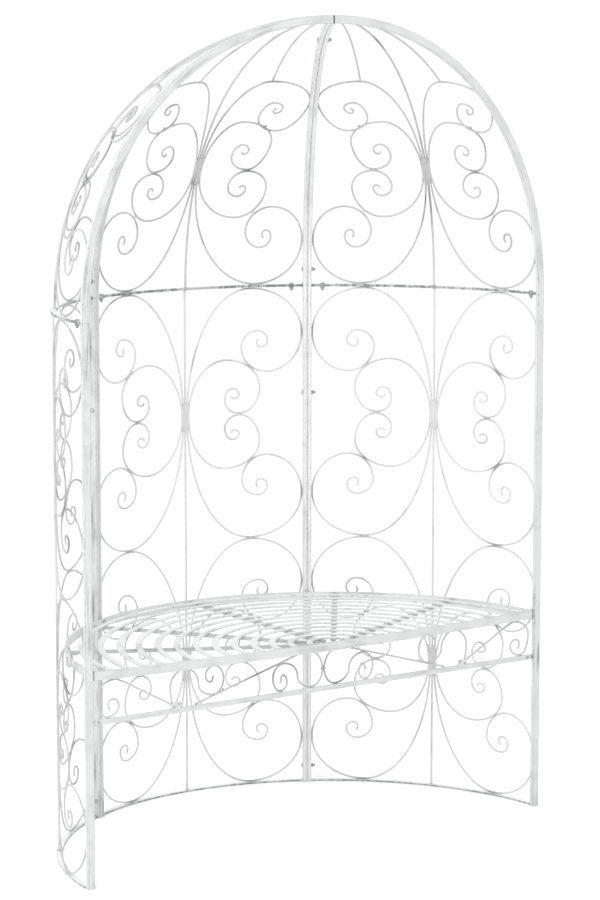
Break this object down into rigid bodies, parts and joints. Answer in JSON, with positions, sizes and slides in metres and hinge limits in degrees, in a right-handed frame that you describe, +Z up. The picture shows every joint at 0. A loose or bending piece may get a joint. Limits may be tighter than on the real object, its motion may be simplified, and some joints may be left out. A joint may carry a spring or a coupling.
{
  "type": "garden pavilion",
  "caption": "Half-round open-front garden trellis arch with scrollwork wall panels, a quarter-sphere scrollwork dome and a slatted half-moon bench.",
  "frame": {"origin": "on the ground, under the centre of the object's bounding box", "axes": "+Z up, the open front faces -Y, the curved back wall is towards +Y, +X to the right seen from the front"},
  "size_m": [1.2164, 0.6088, 1.8253],
  "materials": {
    "paint": "satin, aged white paint worn grey at edges and welds",
    "zinc": "dull zinc plating, partly painted over"
  },
  "bodies": {
    "root": {"right_panel_upright_first": "paint", "right_panel_upright_last": "paint", "right_panel_base_ring_bar": "paint", "right_panel_top_ring_bar": "paint", "right_panel_middle_rod": "paint", "right_panel_scrollwork_first": "paint", "right_panel_scrollwork_last": "paint", "right_gore_rib_first": "paint", "right_gore_rib_last": "paint", "right_gore_ring_bar": "paint", "right_gore_middle_rod": "paint", "right_gore_scrollwork_first": "paint", "right_gore_scrollwork_last": "paint", "back_panel_upright_first": "paint", "back_panel_upright_last": "paint", "back_panel_base_ring_bar": "paint", "back_panel_top_ring_bar": "paint", "back_panel_middle_rod": "paint", "back_panel_scrollwork_first": "paint", "back_panel_scrollwork_last": "paint", "back_gore_rib_first": "paint", "back_gore_rib_last": "paint", "back_gore_ring_bar": "paint", "back_gore_middle_rod": "paint", "back_gore_scrollwork_first": "paint", "back_gore_scrollwork_last": "paint", "left_panel_upright_first": "paint", "left_panel_upright_last": "paint", "left_panel_base_ring_bar": "paint", "left_panel_top_ring_bar": "paint", "left_panel_middle_rod": "paint", "left_panel_scrollwork_first": "paint", "left_panel_scrollwork_last": "paint", "left_gore_rib_first": "paint", "left_gore_rib_last": "paint", "left_gore_ring_bar": "paint", "left_gore_middle_rod": "paint", "left_gore_scrollwork_first": "paint", "left_gore_scrollwork_last": "paint", "right_seam_bolt_lower": "zinc", "right_seam_bolt_upper": "zinc", "right_seam_bolt_dome": "zinc", "left_seam_bolt_lower": "zinc", "left_seam_bolt_upper": "zinc", "left_seam_bolt_dome": "zinc", "right_ring_bolt_first": "zinc", "right_ring_bolt_last": "zinc", "back_ring_bolt_first": "zinc", "back_ring_bolt_last": "zinc", "left_ring_bolt_first": "zinc", "left_ring_bolt_last": "zinc", "seat_front_rail": "paint", "seat_back_ring": "paint", "left_seat_bolt": "zinc", "right_seat_bolt": "zinc", "seat_slats": "paint", "apron_bottom_bar": "paint", "apron_scrollwork_right": "paint", "apron_scrollwork_left": "paint"}
  },
  "joints": []
}
